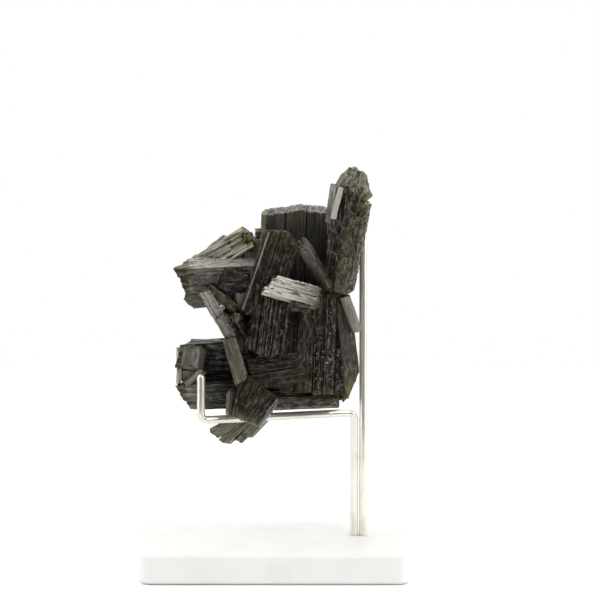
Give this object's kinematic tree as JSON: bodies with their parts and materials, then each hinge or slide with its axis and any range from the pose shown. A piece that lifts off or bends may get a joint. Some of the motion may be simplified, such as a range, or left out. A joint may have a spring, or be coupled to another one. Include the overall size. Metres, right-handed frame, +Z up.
{
  "type": "epidote crystal cluster on a display stand",
  "caption": "Cluster of dark green, striated epidote crystals held by a bent-rod display stand on a plain flat base.",
  "frame": {"origin": "middle of the base's underside", "axes": "+Z up along the stem, -Y towards the side that the picture shows, +X towards the stem's side"},
  "size_m": [0.08, 0.056, 0.1212],
  "materials": {
    "epidote": "glossy, finely striated, olive at thin edges",
    "polished_rod": "polished",
    "white_base": "satin"
  },
  "bodies": {
    "root": {"epidote_cluster": "epidote", "arm_rod": "polished_rod", "back_rod": "polished_rod", "base": "white_base"}
  },
  "joints": []
}
